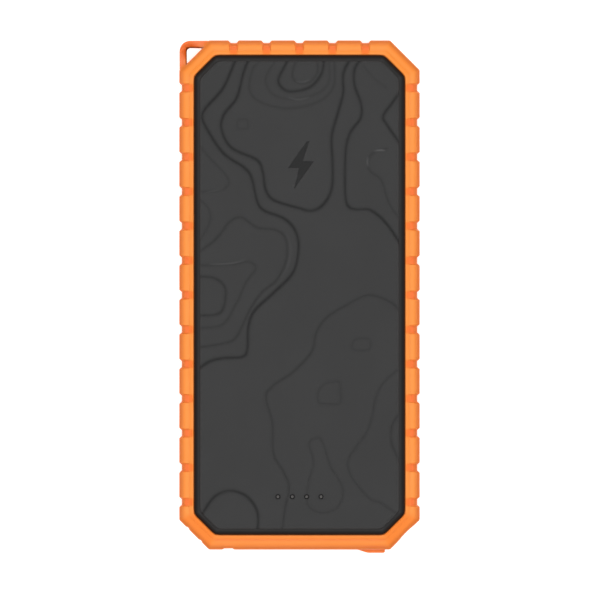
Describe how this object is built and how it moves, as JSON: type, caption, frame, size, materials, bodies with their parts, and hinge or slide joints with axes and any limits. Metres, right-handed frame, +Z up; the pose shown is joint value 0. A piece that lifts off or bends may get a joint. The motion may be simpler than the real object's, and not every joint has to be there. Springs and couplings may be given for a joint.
{
  "type": "rugged power bank",
  "caption": "Flat eight-sided power bank with a notched rubber bumper, corner lanyard loop, contour-relief panel, port flap and side button.",
  "frame": {"origin": "middle of the body's outline, on the plane that the rear rim rests on", "axes": "+X across the body, +Y along it towards the lanyard loop, +Z up out of the front panel"},
  "size_m": [0.085, 0.1812, 0.027],
  "materials": {
    "tpe_orange": "soft-touch moulded elastomer, satin",
    "button_orange": "soft-touch moulded elastomer, satin",
    "shell_black": "fine moulded texture",
    "panel_grey": "fine moulded texture with shallow contour relief",
    "seal_rubber": "matt silicone",
    "screw_steel": "black oxide",
    "insert_brass": "turned",
    "bezel_black": "fine moulded texture",
    "connector_steel": "nickel plated, folded sheet",
    "connector_black": "moulded",
    "connector_tongue": "moulded",
    "contact_gold": "gold flash",
    "circuit_board": "solder mask",
    "inductor_grey": "pressed ferrite",
    "chip_black": "moulded epoxy",
    "capacitor_can": "drawn can",
    "led_lens": "diffused lens",
    "light_pipe": "clear moulded",
    "cell_pouch": "laminated foil pouch",
    "foam_grey": "closed-cell foam",
    "tab_nickel": "nickel strip",
    "lead_red": "insulated wire",
    "lead_black": "insulated wire",
    "plunger_plastic": "moulded"
  },
  "bodies": {
    "housing": {"battery_lead_negative": "lead_black", "battery_lead_positive": "lead_red", "board_capacitors": "capacitor_can", "board_screws": "screw_steel", "bumper": "tpe_orange", "button_seal": "seal_rubber", "case_screws": "screw_steel", "case_seal": "seal_rubber", "cell_lower": "cell_pouch", "cell_tabs": "tab_nickel", "cell_upper": "cell_pouch", "charge_leds": "led_lens", "controller_chips": "chip_black", "flap_hinge_web": "tpe_orange", "foam_front": "foam_grey", "foam_middle": "foam_grey", "foam_rear": "foam_grey", "front_cover": "shell_black", "front_panel": "panel_grey", "light_guide": "light_pipe", "main_board": "circuit_board", "port_bezel": "bezel_black", "port_gasket": "seal_rubber", "power_inductors": "inductor_grey", "rear_cover": "shell_black", "rear_panel": "panel_grey", "switch_body": "connector_black", "thread_inserts": "insert_brass", "usb_a_contacts_1": "contact_gold", "usb_a_contacts_2": "contact_gold", "usb_a_shell_1": "connector_steel", "usb_a_shell_2": "connector_steel", "usb_a_tongue_1": "connector_tongue", "usb_a_tongue_2": "connector_tongue", "usb_c_contacts": "contact_gold", "usb_c_shell": "connector_steel", "usb_c_tongue": "connector_black"},
    "flap": {"port_flap": "tpe_orange"},
    "button": {"button_cap": "button_orange"},
    "plunger": {"switch_plunger": "plunger_plastic"}
  },
  "joints": [
    {"name": "flap_hinge", "type": "hinge", "parent": "housing", "child": "flap", "pos_m": [-0.02515, -0.08905, 0.0135], "axis": [0, 0, -1], "range_deg": [0, 110], "stiffness_Nm_per_rad": 0.0034, "deforming": ["flap_hinge_web"]},
    {"name": "button_press", "type": "slide", "parent": "housing", "child": "button", "axis": [-1, 0, 0], "range_m": [0, 0.0005], "stiffness_N_per_m": 2000},
    {"name": "plunger_press", "type": "slide", "parent": "housing", "child": "plunger", "axis": [-1, 0, 0], "range_m": [0, 0.0005]}
  ],
  "couplings": [
    {"joint": "plunger_press", "follows": "button_press", "ratio": 1}
  ]
}
